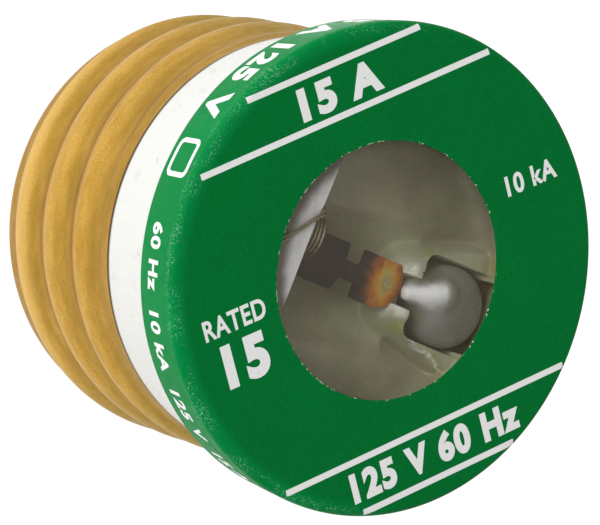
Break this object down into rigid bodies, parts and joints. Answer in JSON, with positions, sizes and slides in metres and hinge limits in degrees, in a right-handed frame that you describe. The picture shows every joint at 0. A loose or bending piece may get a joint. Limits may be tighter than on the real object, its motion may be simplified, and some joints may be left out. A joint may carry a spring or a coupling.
{
  "type": "screw-in plug fuse",
  "caption": "Edison-base time-delay plug fuse with a printed cap, a viewing window on the fuse link and a spring-loaded thermal cutout.",
  "frame": {"origin": "middle of the centre contact's flat underside, on the screw axis", "axes": "+Z along the screw axis, out of the face; +X along the fuse link, from the trip spring to the thermal slug"},
  "size_m": [0.0286, 0.0286, 0.0268],
  "materials": {
    "cap_paint": "printed gloss enamel",
    "window_clear": "clear, slightly smoky",
    "gasket_fibre": "matt",
    "ceramic": "satin glaze",
    "card": "matt",
    "brass": "satin, tarnished",
    "brass_strip": "satin",
    "phenolic": "moulded, semi-matt",
    "tinned": "tinned, satin",
    "copper": "copper, satin",
    "solder": "bright solder",
    "slug": "satin grey metal",
    "spring_steel": "drawn wire",
    "link_strip": "oxidised copper with heat tint"
  },
  "bodies": {
    "housing": {"cap": "cap_paint", "window": "window_clear", "window_gasket": "gasket_fibre", "insulating_body": "ceramic", "shelf_plate": "card", "screw_shell": "brass", "shell_strap": "brass_strip", "strap_solder": "solder", "lead_solder": "solder", "base_insulator": "phenolic", "centre_contact": "tinned", "contact_rivet": "copper", "contact_solder": "solder", "slug_terminal": "copper", "thermal_slug": "slug", "fusing_alloy": "solder", "trip_spring": "spring_steel", "spring_anchor": "spring_steel", "flexible_lead": "copper"},
    "trip_link": {"fuse_link": "link_strip", "trigger_strip": "copper", "link_weld": "slug", "spring_seat": "brass_strip"}
  },
  "joints": [
    {"name": "trip_slide", "type": "slide", "parent": "housing", "child": "trip_link", "axis": [-1, 0, 0], "range_m": [0, 0.0022], "deforming": ["trip_spring", "flexible_lead"]}
  ]
}
